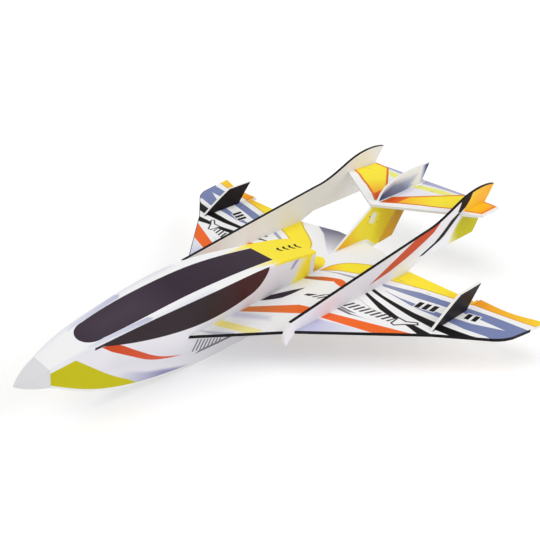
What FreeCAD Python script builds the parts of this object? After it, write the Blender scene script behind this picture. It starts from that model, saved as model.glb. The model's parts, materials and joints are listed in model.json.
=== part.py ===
import FreeCAD, Part
import math
import os

# Foam-board model jet: a box fuselage, a swept wing with raised winglets, twin tail booms
# carrying a high stabiliser, and a centre fin between wing and stabiliser.
# Millimetres. +X is port (left wing), +Y runs aft, +Z up. The origin lies on the flat of the
# belly, on the centre line, under the kink in the wing's leading edge at the booms.

V = FreeCAD.Vector

# ---- driving dimensions ----------------------------------------------------------------
BOARD = 5.0            # thickness of the foam board everything is cut from
WING_TOP = 75.0        # height of the wing's flat top face above the belly
STAB_TOP = 145.0       # height of the stabiliser's top face
BOOM_X = 140.0         # booms stand this far from the centre line
WINGLET_X = 292.0      # and the winglets this far
NOSE_Y = -365.0        # joint between nose cone and fuselage
NOSE_TIP_Y = -412.0
NOSE_TIP_Z = 98.0
TAIL_Y = 165.0         # rear end of the fuselage box
GAP = 0.5              # clearance between a moving surface and its neighbours
EDGE = 1.2             # thickness of the plastic edge strips

AILERON_HINGE_Y = 262.0
AILERON_TE_Y = 297.0
AILERON_X = (146.0, 285.5)
ELEVATOR_HINGE_Y = 490.0
ELEVATOR_TE_Y = 525.0
ELEVATOR_HALF = 134.5
HINGE_R = BOARD / 2    # half-round nose of each control surface, centred on its hinge line
ROD_R = 0.6            # hinge rod
ROD_FIT = 0.05         # running clearance of the hinge rod in its blocks
ARM = 12.0             # servo arm and control horn, pivot to pivot
ARM_T = 1.6
PUSHROD_R = 0.75
PIN_FIT = 0.06         # running clearance of a pushrod end in its hole

FAN_Y = 88.0           # front of the ducted fan
FAN_LENGTH = 42.0
FAN_Z = 95.0
FAN_R = 27.0           # outside of the fan housing
FAN_BORE_R = 25.2
ROTOR_R = 24.8
ROTOR_BLADES = 8
HUB_R = 11.0
NOZZLE_R = 19.1        # outside of the exhaust tube at its rear end

TRAY_Z = 40.0          # underside of the equipment tray
TRAY_T = 3.0
CENTRE_FORMER_Y = -62.0

# Fuselage wall stations: (y, half width at the top edge, top z, half width at the bottom
# edge, bottom z). The side walls are straight between the two edges.
STATIONS = [
    (-372, 22.0, 113, 16.0, 84),
    (-322, 35.0, 126, 19.5, 54),
    (-266, 43.7, 136, 20.5, 29),
    (-196, 51.6, 144, 21.0, 12),
    (-84, 58.2, 150, 21.0, 0),
    (28, 47.8, 143, 21.0, 0),
    (112, 41.2, 132, 21.0, 5),
    (172, 31.0, 119, 20.0, 28),
]
# Side view of the fuselage: top line, and the belly with its flat resting part.
TOP_LINE = [(-365, 115), (-322, 126.5), (-266, 136), (-196, 144.2), (-84, 150), (28, 143.3),
            (112, 131.5), (165, 120.5)]
BELLY_FRONT = [(-365, 81), (-322, 54), (-266, 29), (-196, 11.5), (-140, 3), (-98, 0)]
BELLY_REAR = [(96, 0), (132, 8), (165, 24)]
WALL_OVERRUN = 16.0    # how far the wall lofts run past the top and belly before trimming

parts = {}


# ---- outlines --------------------------------------------------------------------------
def curve(points, start=None, end=None):
    """Smooth edge through points, with optional tangents at its ends."""
    spline = Part.BSplineCurve()
    if start is None and end is None:
        spline.interpolate(points)
    else:
        first = start or points[1].sub(points[0])
        last = end or points[-1].sub(points[-2])
        spline.interpolate(Points=points, InitialTangent=first, FinalTangent=last)
    return spline.toShape()


def to_plane(plane, point):
    a, b = point
    return V(a, b, 0) if plane == "XY" else V(0, a, b)


def face(plane, runs):
    """Closed face from runs of (a, b) points; a run of two is a line, a longer one a curve."""
    edges = []
    for run in runs:
        points = [to_plane(plane, p) for p in run]
        if len(points) == 2:
            edges.append(Part.makeLine(points[0], points[1]))
        else:
            edges.append(curve(points))
    return Part.Face(Part.Wire(edges))


def polygon(plane, points):
    ring = points + points[:1]
    return face(plane, [[ring[i], ring[i + 1]] for i in range(len(points))])


def slab_xy(shape, z0, thickness):
    """Extrude a face drawn in plan between z0 and z0 + thickness."""
    solid = shape.extrude(V(0, 0, thickness))
    solid.translate(V(0, 0, z0))
    return solid


def slab_yz(shape, x0, thickness):
    """Extrude a face drawn in side view between x0 and x0 + thickness."""
    solid = shape.extrude(V(thickness, 0, 0))
    solid.translate(V(x0, 0, 0))
    return solid


def box(x, y, z):
    """Box from its (low, high) range on each axis."""
    return Part.makeBox(x[1] - x[0], y[1] - y[0], z[1] - z[0], V(x[0], y[0], z[0]))


def rod(start, end, radius):
    axis = end.sub(start)
    return Part.makeCylinder(radius, axis.Length, start, axis)


def mirrored(shape):
    return shape.mirror(V(0, 0, 0), V(1, 0, 0))


def joined(shapes):
    result = shapes[0]
    for shape in shapes[1:]:
        result = result.fuse(shape)
    return result.removeSplitter()


def group(shapes):
    return Part.makeCompound(shapes)


def add(name, shape):
    parts[name] = shape


# ---- fuselage --------------------------------------------------------------------------
def wall_section(station, inset):
    """Trapezoid of the side walls at one station, running past the top and belly."""
    y, top_half, top_z, bottom_half, bottom_z = station
    slope = (top_half - bottom_half) / (top_z - bottom_z)
    inset *= math.sqrt(1 + slope * slope)
    high = top_half + slope * WALL_OVERRUN - inset
    low = bottom_half - slope * WALL_OVERRUN - inset
    corners = [
        V(high, y, top_z + WALL_OVERRUN),
        V(-high, y, top_z + WALL_OVERRUN),
        V(-low, y, bottom_z - WALL_OVERRUN),
        V(low, y, bottom_z - WALL_OVERRUN),
    ]
    return Part.makePolygon(corners + corners[:1])


def wall_loft(inset):
    return Part.makeLoft([wall_section(s, inset) for s in STATIONS], True, False)


def shifted(points, rise):
    return [(y, z + rise) for y, z in points]


def side_profile(top_drop, belly_rise):
    """Fuselage side view, with its top line lowered and its belly raised."""
    top = shifted(TOP_LINE, -top_drop)
    front = shifted(BELLY_FRONT, belly_rise)
    rear = shifted(BELLY_REAR, belly_rise)
    level = V(0, 1, 0)
    front_points = [to_plane("YZ", p) for p in front]
    rear_points = [to_plane("YZ", p) for p in rear]
    edges = [
        curve(front_points, end=level),
        Part.makeLine(front_points[-1], rear_points[0]),
        curve(rear_points, start=level),
        Part.makeLine(rear_points[-1], to_plane("YZ", top[-1])),
        curve([to_plane("YZ", p) for p in reversed(top)]),
        Part.makeLine(to_plane("YZ", top[0]), front_points[0]),
    ]
    return slab_yz(Part.Face(Part.Wire(edges)), -90, 180)


OUTER_WALLS = wall_loft(0)
INNER_WALLS = wall_loft(BOARD)
HULL = OUTER_WALLS.common(side_profile(0, 0))
BETWEEN = side_profile(BOARD, BOARD)
BELOW_TOP = side_profile(BOARD, 0)
ABOVE_BELLY = side_profile(0, BOARD)
CAVITY = INNER_WALLS.common(BETWEEN)


def canopy_outline(grow):
    """Plan of the canopy hatch: blunt rounded front, swelling sides, square-cut rear."""
    g = grow
    half = [(28 + g, 62 + g), (32 + g, 5), (35.5 + g, -62), (35.8 + g, -153), (32.8 + g, -245),
            (28.7 + g, -278)]
    front = [half[-1], (20 + g, -298 - g), (0, -305 - g), (-20 - g, -298 - g), (-28.7 - g, -278)]
    other = [(-x, y) for x, y in reversed(half)]
    return face("XY", [half, front, other, [other[-1], half[0]]])


def canopy_prism(grow):
    return slab_xy(canopy_outline(grow), 60, 120)


def fuselage_panels():
    walls = HULL.cut(INNER_WALLS).common(BETWEEN)
    port_side = walls.common(box((0, 90), (-400, 200), (-20, 200)))
    intake = box((-13, 13), (-40, 30), (-5, 10))
    port_side = port_side.cut(spars())
    add("side_panel_left", port_side)
    add("side_panel_right", mirrored(port_side))
    add("top_panel", HULL.cut(BELOW_TOP).cut(canopy_prism(0.4)))
    add("belly_panel", HULL.cut(ABOVE_BELLY).cut(intake))


def canopy_hatch():
    skin = HULL.cut(side_profile(BOARD - 0.3, 0)).common(canopy_prism(0))
    ledge = CAVITY.cut(side_profile(BOARD + 3, BOARD)).common(canopy_prism(7))
    add("canopy_hatch", skin)
    add("hatch_ledge", ledge.cut(canopy_prism(-6)))


def nose_section(y, scale):
    """Cross-section of the nose cone, shrinking towards its tip."""
    top, bottom = 115.0, 81.0
    top_half, bottom_half = 24.4, 17.3
    corners = [(top_half, top), (-top_half, top), (-bottom_half, bottom), (bottom_half, bottom)]
    points = []
    for x, z in corners:
        points.append(V(x * scale, y, NOSE_TIP_Z + (z - NOSE_TIP_Z) * scale))
    return Part.makePolygon(points + points[:1])


def nose_cone():
    stages = [(NOSE_Y, 0.97), (-382, 0.73), (-399, 0.40), (NOSE_TIP_Y, 0.03)]
    cone = Part.makeLoft([nose_section(y, s) for y, s in stages], True, False)
    spigot = CAVITY.common(box((-60, 60), (NOSE_Y, NOSE_Y + 8), (0, 200)))
    add("nose_cone", joined([cone, spigot]))


def bulkhead(y0, thickness):
    return CAVITY.common(box((-90, 90), (y0, y0 + thickness), (-10, 200)))


def window(x_half, z_range):
    return box((-x_half, x_half), (-400, 200), z_range)


def formers_and_tray():
    tray = CAVITY.common(box((-90, 90), (-350, CENTRE_FORMER_Y), (TRAY_Z, TRAY_Z + TRAY_T)))
    strap_outer = box((-20.2, 20.2), (-180, -164), (TRAY_Z - 1.5, TRAY_Z + TRAY_T + 31.7))
    strap_inner = box((-19, 19), (-190, -150), (TRAY_Z - 0.3, TRAY_Z + TRAY_T + 30.5))
    strap = strap_outer.cut(strap_inner)
    tray = tray.cut(box((-20.6, -18.6), (-180.4, -163.6), (0, 90)))
    tray = tray.cut(box((18.6, 20.6), (-180.4, -163.6), (0, 90)))
    front = bulkhead(NOSE_Y + 8, BOARD)
    centre = bulkhead(CENTRE_FORMER_Y, BOARD).cut(window(24, (54, 128))).cut(parts["hatch_ledge"])
    fan_former = bulkhead(FAN_Y + 12, BOARD).cut(rod(V(0, 80, FAN_Z), V(0, 140, FAN_Z), FAN_R))
    rear = bulkhead(TAIL_Y - BOARD, BOARD).cut(exhaust_cone(0)).cut(window(14, (108, 130)))
    add("equipment_tray", tray)
    add("nose_former", front)
    add("centre_former", centre)
    add("fan_former", fan_former)
    add("rear_former", rear)
    add("battery_strap", strap)


def rounded_box(x, y, z, radius):
    """Box with its upright edges rounded."""
    solid = box(x, y, z)
    upright = [e for e in solid.Edges if abs(e.Vertexes[0].Z - e.Vertexes[-1].Z) > 1]
    return solid.makeFillet(radius, upright)


def flight_electronics():
    top = TRAY_Z + TRAY_T
    add("battery", rounded_box((-17.5, 17.5), (-216, -128), (top, top + 30), 3.0))
    add("receiver", rounded_box((-13, 13), (-112, -74), (top, top + 12), 1.5))
    add("speed_controller", rounded_box((-12, 12), (-268, -224), (top, top + 9), 2.0))


# ---- ducted fan ------------------------------------------------------------------------
def fan_tube(radius, y0, y1):
    return rod(V(0, y0, FAN_Z), V(0, y1, FAN_Z), radius)


def exhaust_cone(inset):
    """Tapered solid from the fan housing back through the rear former."""
    start = FAN_Y + FAN_LENGTH
    return Part.makeCone(FAN_R - 0.8 - inset, NOZZLE_R - inset, TAIL_Y + 4 - start,
                         V(0, start, FAN_Z + 0.2), V(0, 1, 0))


def fan_housing():
    end = FAN_Y + FAN_LENGTH
    ring = fan_tube(FAN_R, FAN_Y, end)
    lip = Part.makeCone(FAN_R + 2.5, FAN_R, 6, V(0, FAN_Y, FAN_Z), V(0, 1, 0))
    ring = ring.fuse(lip).cut(fan_tube(FAN_BORE_R, FAN_Y - 1, end + 1))
    sleeve = fan_tube(HUB_R, FAN_Y + 16, end - 4)
    vanes = []
    for i in range(5):
        vane = box((-0.8, 0.8), (end - 18, end - 4), (FAN_Z + HUB_R - 1, FAN_Z + FAN_BORE_R + 0.6))
        vane.rotate(V(0, 0, FAN_Z), V(0, 1, 0), 72 * i)
        vanes.append(vane)
    housing = joined([ring, sleeve] + vanes).cut(fan_tube(HUB_R - 0.9, FAN_Y + 17.5, end))
    return housing.cut(fan_tube(3.5, FAN_Y + 15, FAN_Y + 18))


def fan_blade():
    """Twisted blade standing up from the hub."""
    sections = []
    for radius, chord, twist in [(HUB_R - 0.8, 9.0, 52), (18.0, 8.4, 40), (ROTOR_R - 0.2, 7.4, 31)]:
        half = chord / 2
        corners = [V(-half, -0.5, 0), V(half, -0.5, 0), V(half, 0.5, 0), V(-half, 0.5, 0)]
        wire = Part.makePolygon(corners + corners[:1])
        wire.rotate(V(0, 0, 0), V(0, 0, 1), twist)
        wire.translate(V(0, FAN_Y + 8, FAN_Z + radius))
        sections.append(wire)
    return Part.makeLoft(sections, True, False)


def fan_rotor():
    hub = fan_tube(HUB_R, FAN_Y + 1, FAN_Y + 15)
    dome = Part.makeSphere(HUB_R, V(0, FAN_Y + 1, FAN_Z)).common(fan_tube(HUB_R, FAN_Y - 12, FAN_Y + 1))
    shaft = fan_tube(1.5, FAN_Y + 14, FAN_Y + 38)
    blades = []
    for i in range(ROTOR_BLADES):
        blade = fan_blade()
        blade.rotate(V(0, 0, FAN_Z), V(0, 1, 0), 360 / ROTOR_BLADES * i)
        blades.append(blade)
    rim = fan_tube(ROTOR_R, FAN_Y + 1, FAN_Y + 15)
    return joined([hub, dome] + blades).common(rim.fuse(dome)).fuse(shaft).removeSplitter()


def ducted_fan():
    motor = fan_tube(HUB_R - 0.9, FAN_Y + 18.5, FAN_Y + 37)
    motor = motor.cut(fan_tube(1.5 + ROD_FIT, FAN_Y + 14, FAN_Y + 50))
    add("fan_housing", fan_housing())
    add("fan_motor", motor)
    add("fan_rotor", fan_rotor())
    add("exhaust_tube", exhaust_cone(0).cut(exhaust_cone(0.8)))


# ---- wing ------------------------------------------------------------------------------
MID_WING = WING_TOP - BOARD / 2
CENTRE_TE = (54, 323)                  # corner of the rear edge, which is square across the middle
STRAKE = (26, -145)
KINK = (BOOM_X, 3)
LE_MID = (298, 162)
LE_TIP = (366, 218)
TIP_BEND = (381, 233)
TIP_FRONT = (391, 253)
STRIP_END = (398.5, 291)               # on the line from TIP_FRONT to TIP_REAR
TIP_REAR = (406, 329)
SPARS = [(65.0, 188.0), (235.0, 280.0)]      # (y, half length) of the carbon spars
SPAR_R = 1.5
BOOM_TABS = [(84, 112), (196, 222)]
WINGLET_TAB = (186, 226)
AILERON_HINGES = (12, 70, 128)         # along the hinge line from the aileron's inner end
AILERON_HORN_X = 200.0
AILERON_SERVO = (-45.0, -8.5)          # shaft from the hinge line: (aft, up)
ELEVATOR_HINGES = (12, 90, 179, 257)
ELEVATOR_HORN_X = -40.0
ELEVATOR_SERVO = (-48.0, -8.5)
RUDDER_HINGES = (10, 55, 100)
RUDDER_HORN = 26.5
RUDDER_SERVO = (-49.5, 3.5)            # the case is flush with the fin's port face


def wing_outline():
    """Plan of the port wing half, with the aileron's bay cut out of its trailing edge."""
    bay_y = AILERON_HINGE_Y - HINGE_R - GAP
    inner, outer = AILERON_X[0] - 1, AILERON_X[1] + 1
    return [
        [(0, STRAKE[1]), STRAKE],
        [STRAKE, KINK],
        [KINK, LE_MID],
        [LE_MID, LE_TIP],
        [LE_TIP, TIP_BEND, TIP_FRONT],
        [TIP_FRONT, TIP_REAR],
        [TIP_REAR, (380, 319.5), (350, 311), (315, 309.5), (outer, 311)],
        [(outer, 311), (outer, bay_y)],
        [(outer, bay_y), (inner, bay_y)],
        [(inner, bay_y), (inner, AILERON_TE_Y)],
        [(inner, AILERON_TE_Y), CENTRE_TE],
        [CENTRE_TE, (0, CENTRE_TE[1])],
        [(0, CENTRE_TE[1]), (0, STRAKE[1])],
    ]


def spars():
    rods = [rod(V(-half, y, MID_WING), V(half, y, MID_WING), SPAR_R) for y, half in SPARS]
    return group(rods)


def wing_panel(cutters):
    wing = slab_xy(face("XY", wing_outline()), WING_TOP - BOARD, BOARD).cut(HULL)
    for cutter in cutters:
        wing = wing.cut(cutter)
    return max(wing.Solids, key=lambda solid: solid.Volume)


def band(plane, runs, shift):
    """Closed outline between the runs of an edge and the same runs moved by shift."""
    moved = [[(a + shift[0], b + shift[1]) for a, b in reversed(run)] for run in reversed(runs)]
    ends = [[runs[-1][-1], moved[0][0]], [moved[-1][-1], runs[0][0]]]
    return face(plane, runs + ends[:1] + moved + ends[1:])


def wing_edge_strip(boom):
    """Plastic strip round the leading edge, in two lengths because the boom interrupts it."""
    runs = [[STRAKE, KINK], [KINK, LE_MID], [LE_MID, LE_TIP], [LE_TIP, TIP_BEND, TIP_FRONT],
            [TIP_FRONT, STRIP_END]]
    shift = (0.75 * EDGE, -0.75 * EDGE)
    strip = slab_xy(band("XY", runs, shift), WING_TOP - BOARD, BOARD)
    return strip.cut(boom).cut(HULL)


def winglet():
    runs = [
        [(166, WING_TOP), (205, 99), (238, 116)],
        [(238, 116), (297, 116)],
        [(297, 116), (273, 89), (262, WING_TOP)],
        [(262, WING_TOP), (166, WING_TOP)],
    ]
    plate = slab_yz(face("YZ", runs), WINGLET_X - BOARD / 2, BOARD)
    tab = box((WINGLET_X - BOARD / 2, WINGLET_X + BOARD / 2), WINGLET_TAB,
              (WING_TOP - BOARD, WING_TOP))
    return joined([plate, tab])


# ---- booms -----------------------------------------------------------------------------
BOOM_TOP = [
    [(-5, 94), (140, 113), (345, 139)],
    [(345, 139), (388, 147.5), (420, 159), (455, 172), (500, 180), (551, 176)],
]


def boom():
    """Port tail boom: a plate standing on the wing, hooked round the leading edge in front."""
    runs = BOOM_TOP + [
        [(551, 176), (528, 145)],
        [(528, 145), (515, 117), (497, 89)],
        [(497, 89), (336, 88)],
        [(336, 88), (297, WING_TOP)],
        [(297, WING_TOP), (16, WING_TOP)],
        [(16, WING_TOP), (12, WING_TOP - BOARD)],
        [(12, WING_TOP - BOARD), (-3, 65), (-14, 54)],
        [(-14, 54), (-18.5, 64), (-19, 74), (-15, 85), (-5, 94)],
    ]
    thickness = (BOOM_X - BOARD / 2, BOOM_X + BOARD / 2)
    plate = slab_yz(face("YZ", runs), thickness[0], BOARD)
    tabs = [box(thickness, tab, (WING_TOP - BOARD, WING_TOP)) for tab in BOOM_TABS]
    return joined([plate] + tabs)


def boom_edge_strip():
    strip = band("YZ", BOOM_TOP, (0, EDGE))
    return slab_yz(strip, BOOM_X - BOARD / 2, BOARD)


# ---- tail ------------------------------------------------------------------------------
STAB_BOTTOM = STAB_TOP - BOARD
MID_STAB = STAB_TOP - BOARD / 2
STAB_APEX_Y = 351.0
STAB_TIP_X = 176.5
FIN_NOTCH = 4.5        # half width of the elevator's notch round the upper fin
RUDDER_FOOT = V(0, 379.4, 47.7)
RUDDER_AXIS = V(0, 0.6267, 0.7792)
RUDDER_SPAN = (3.0, 112.0)
COVER_T = 0.8          # plate over the rudder servo on the fin's port face


def on_rudder_axis(distance, aft=0.0):
    """Point (y, z) along the rudder's raked hinge line, moved square to it by aft."""
    y = RUDDER_FOOT.y + distance * RUDDER_AXIS.y + aft * RUDDER_AXIS.z
    z = RUDDER_FOOT.z + distance * RUDDER_AXIS.z - aft * RUDDER_AXIS.y
    return (y, z)


def stabiliser():
    bay_y = ELEVATOR_HINGE_Y - HINGE_R - GAP
    outer_face = BOOM_X + BOARD / 2
    half = [
        (4, STAB_APEX_Y + 1.5), (170, 461), (STAB_TIP_X, 471), (STAB_TIP_X, ELEVATOR_TE_Y),
        (outer_face, ELEVATOR_TE_Y), (outer_face, bay_y),
    ]
    other = [(-x, y) for x, y in reversed(half)]
    return slab_xy(polygon("XY", half + other + [(0, STAB_APEX_Y)]), STAB_BOTTOM, BOARD)


def surface_nose(x_range, y, z):
    """Half-round nose of a control surface, as the whole rod that rounds it."""
    return rod(V(x_range[0], y, z), V(x_range[1], y, z), HINGE_R)


def elevator():
    half = [(ELEVATOR_HALF, ELEVATOR_HINGE_Y), (ELEVATOR_HALF, ELEVATOR_TE_Y)]
    notch = [(FIN_NOTCH, ELEVATOR_HINGE_Y), (FIN_NOTCH, ELEVATOR_TE_Y - 6)]
    outline = [notch[1], notch[0]] + half
    outline += [(-x, y) for x, y in reversed(outline)]
    plate = slab_xy(polygon("XY", outline), STAB_BOTTOM, BOARD)
    nose = surface_nose((-ELEVATOR_HALF, ELEVATOR_HALF), ELEVATOR_HINGE_Y, MID_STAB)
    notch_space = box((-FIN_NOTCH, FIN_NOTCH), (480, ELEVATOR_TE_Y - 6), (100, 200))
    return joined([plate, nose]).cut(notch_space)


def aileron():
    plate = box(AILERON_X, (AILERON_HINGE_Y, AILERON_TE_Y), (WING_TOP - BOARD, WING_TOP))
    return joined([plate, surface_nose(AILERON_X, AILERON_HINGE_Y, MID_WING)])


def centre_fin():
    """Fin between wing and stabiliser, carried on below the wing behind its trailing edge."""
    runs = [
        [(249, WING_TOP), (357, STAB_BOTTOM)],
        [(357, STAB_BOTTOM), (449.6, STAB_BOTTOM)],
        [(449.6, STAB_BOTTOM), on_rudder_axis(0, -HINGE_R - GAP)],
        [on_rudder_axis(0, -HINGE_R - GAP), (325, 44)],
        [(325, 44), (290, 51), (262, WING_TOP - BOARD)],
        [(262, WING_TOP - BOARD), (262, WING_TOP)],
        [(262, WING_TOP), (249, WING_TOP)],
    ]
    return slab_yz(face("YZ", runs), -BOARD / 2, BOARD)


def rudder():
    low, high = RUDDER_SPAN
    outline = [on_rudder_axis(low), (424, 54), (458, 100), (474, 135.5), on_rudder_axis(high)]
    plate = slab_yz(polygon("YZ", outline), -BOARD / 2, BOARD)
    ends = [to_plane("YZ", on_rudder_axis(s)) for s in RUDDER_SPAN]
    return joined([plate, rod(ends[0], ends[1], HINGE_R)])


def upper_fin():
    """Fin on top of the stabiliser, with a bowed leading edge and a raked rear edge."""
    foot, tip, heel = (372, STAB_TOP), (528, 184.5), (504, STAB_TOP)
    runs = [[foot, (387, 164), (412, 175.5), (462, 184), tip], [tip, heel], [heel, foot]]
    return slab_yz(face("YZ", runs), -BOARD / 2, BOARD)


# ---- hinges and linkages ---------------------------------------------------------------
# Each is drawn in a local frame: local X runs along the hinge line, local +Y aft across the
# moving surface, and the surface's mid plane is local Z = 0.
BLOCK = 6.0            # width of a hinge block along its hinge
BLOCK_REACH = (-11.0, 1.1)   # from inside the fixed board to just past the hinge line
BLOCK_HALF = 1.0       # half its thickness
POCKET_R = 1.8         # round pocket it turns in, inside the nose of the moving surface
SERVO_CASE = (22.0, 23.0, 12.0)
SERVO_GAP = 4.5        # from the servo arm's mid plane to the case
SERVO_SHAFT = 6.0      # from the shaft to the near end of the case
ARM_HUB_R = 3.6
SHAFT_R = 2.4          # servo output shaft
EYE_R = 2.4            # rounded end of an arm or horn round its pin hole


def frame(origin, x_axis, y_axis):
    rotation = FreeCAD.Rotation(x_axis, y_axis, x_axis.cross(y_axis), "XYZ")
    return FreeCAD.Placement(origin, rotation)


def placed(shape, place):
    moved = shape.copy()
    moved.transformShape(place.toMatrix())
    return moved


def hinge_rod(length):
    return rod(V(0, 0, 0), V(length, 0, 0), ROD_R)


def hinge_blocks(stations):
    """Blocks, solid: the rod's hole is cut when they are finished."""
    half = BLOCK / 2
    return [box((s - half, s + half), BLOCK_REACH, (-BLOCK_HALF, BLOCK_HALF)) for s in stations]


def hinge_pockets(stations):
    """Round pockets with a mouth wide enough for the blocks at full travel."""
    half = BLOCK / 2 + 0.4
    mouth = polygon("YZ", [(0, 0), (-2, 5), (-6, 5), (-6, -5), (-2, -5)])
    pockets = []
    for s in stations:
        pocket = rod(V(s - half, 0, 0), V(s + half, 0, 0), POCKET_R)
        pockets.append(pocket.fuse(slab_yz(mouth, s - half, 2 * half)))
    return pockets


def fit_hinge(moving, place, length, stations):
    """Cut a moving surface for its hinge, and return it with its rod and blocks."""
    bore = rod(V(-5, 0, 0), V(length + 5, 0, 0), ROD_R + ROD_FIT)
    shaft = placed(hinge_rod(length), place)
    for pocket in hinge_pockets(stations):
        moving = moving.cut(placed(pocket, place))
    blocks = [placed(block.cut(bore), place) for block in hinge_blocks(stations)]
    return moving.cut(shaft), shaft, blocks


def servo_arm(tip_z, side):
    """Flat arm on its output shaft, reaching from the origin to a pin hole at tip_z."""
    half = ARM_T / 2
    hub = rod(V(-half, 0, 0), V(half, 0, 0), ARM_HUB_R)
    shaft = rod(V(0, 0, 0), V(side * 4.6, 0, 0), SHAFT_R)
    eye = rod(V(-half, 0, tip_z), V(half, 0, tip_z), EYE_R)
    root = 0.85 * ARM_HUB_R
    web = polygon("YZ", [(-root, 0), (root, 0), (0.9 * EYE_R, tip_z), (-0.9 * EYE_R, tip_z)])
    blank = joined([hub, shaft, eye, slab_yz(web, -half, ARM_T)])
    return blank.cut(rod(V(-5, 0, tip_z), V(5, 0, tip_z), PUSHROD_R + PIN_FIT))


def control_horn(tip_z):
    """Horn standing on the surface with its hole square to the hinge line."""
    half = ARM_T / 2
    side = 1 if tip_z > 0 else -1
    face_z = side * BOARD / 2
    web = polygon("YZ", [(1.0, face_z), (17, face_z), (2.0, tip_z), (-2.0, tip_z)])
    base_z = sorted((face_z, face_z + side * 1.2))
    base = box((-5, 5), (5.5, 19), base_z)
    eye = rod(V(-half, 0, tip_z), V(half, 0, tip_z), EYE_R)
    blank = joined([slab_yz(web, -half, ARM_T), eye, base])
    return blank.cut(rod(V(-5, 0, tip_z), V(5, 0, tip_z), PUSHROD_R + 0.2))


def servo(side):
    """Servo case with its ears and gear boss; side is the way it stands from the arm."""
    height, length, width = SERVO_CASE
    rear, front = SERVO_SHAFT, SERVO_SHAFT - length
    case = box((SERVO_GAP, SERVO_GAP + height), (front, rear), (-width / 2, width / 2))
    ears = box((SERVO_GAP + 4, SERVO_GAP + 6.2), (front - 4.5, rear + 4.5), (-width / 2, width / 2))
    boss = rod(V(2.4, 0, 0), V(SERVO_GAP + 1, 0, 0), 5.6)
    second = rod(V(3.2, -7, 0), V(SERVO_GAP + 1, -7, 0), 3.0)
    bore = rod(V(1, 0, 0), V(5, 0, 0), SHAFT_R + ROD_FIT)
    shape = joined([case, ears, boss, second]).cut(bore)
    for y in (front - 2.4, rear + 2.4):
        shape = shape.cut(rod(V(SERVO_GAP, y, 0), V(SERVO_GAP + 12, y, 0), 1.0))
    return shape if side > 0 else mirrored(shape)


def pushrod(run_y, run_z, side):
    """Wire between the arm's pin and the horn's pin, bent square at both ends."""
    x = -side * (ARM_T / 2 + 0.4 + PUSHROD_R)
    reach = side * (ARM_T / 2 + 1.4)
    start, end = V(x, 0, 0), V(x, run_y, run_z)
    wire = rod(start, end, PUSHROD_R)
    pins = [rod(p, p.add(V(reach - x, 0, 0)), PUSHROD_R) for p in (start, end)]
    elbows = [Part.makeSphere(PUSHROD_R, p) for p in (start, end)]
    return joined([wire] + pins + elbows)


def linkage(name, place, servo_at, tip_z, side):
    """Servo, arm, pushrod and horn that turn with equal, parallel levers about local X."""
    y, z = servo_at
    shift = FreeCAD.Placement(V(0, y, z), FreeCAD.Rotation())
    at_servo = place.multiply(shift)
    tip = FreeCAD.Placement(V(0, y, z + tip_z), FreeCAD.Rotation())
    add(name + "_servo", placed(servo(side), at_servo))
    add(name + "_servo_arm", placed(servo_arm(tip_z, side), at_servo))
    add(name + "_pushrod", placed(pushrod(-y, -z, side), place.multiply(tip)))
    add(name + "_horn", placed(control_horn(tip_z), place))


# ---- build -----------------------------------------------------------------------------
def build_wing():
    port_boom = boom()
    fin = centre_fin()
    tip = winglet()
    length = AILERON_X[1] - AILERON_X[0]
    hinge_at = V(AILERON_X[0], AILERON_HINGE_Y, MID_WING)
    place = frame(hinge_at, V(1, 0, 0), V(0, 1, 0))
    surface, shaft, blocks = fit_hinge(aileron(), place, length, AILERON_HINGES)
    cutters = [port_boom, fin, tip, spars()] + blocks
    wing = wing_panel(cutters)
    pairs = {"wing": wing, "boom": port_boom.cut(stabiliser()), "winglet": tip,
             "wing_edge_strip": wing_edge_strip(port_boom), "boom_edge_strip": boom_edge_strip(),
             "aileron": surface, "aileron_hinge_rod": shaft}
    for name, shape in pairs.items():
        add(name + "_left", shape)
        add(name + "_right", mirrored(shape))
    add("wing_spars", spars())
    at_horn = frame(V(AILERON_HORN_X, AILERON_HINGE_Y, MID_WING), V(1, 0, 0), V(0, 1, 0))
    linkage("left_aileron", at_horn, AILERON_SERVO, -ARM, -1)
    for piece in ("servo", "servo_arm", "pushrod", "horn"):
        add("right_aileron_" + piece, mirrored(parts["left_aileron_" + piece]))
    return blocks + [mirrored(block) for block in blocks]


def build_elevator():
    start = V(-ELEVATOR_HALF, ELEVATOR_HINGE_Y, MID_STAB)
    place = frame(start, V(1, 0, 0), V(0, 1, 0))
    surface, shaft, blocks = fit_hinge(elevator(), place, 2 * ELEVATOR_HALF, ELEVATOR_HINGES)
    stab = stabiliser()
    for block in blocks:
        stab = stab.cut(block)
    add("stabiliser", stab)
    add("elevator", surface)
    add("elevator_hinge_rod", shaft)
    add("upper_fin", upper_fin())
    at_horn = frame(V(ELEVATOR_HORN_X, ELEVATOR_HINGE_Y, MID_STAB), V(1, 0, 0), V(0, 1, 0))
    linkage("elevator", at_horn, ELEVATOR_SERVO, -ARM, -1)
    return blocks


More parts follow.
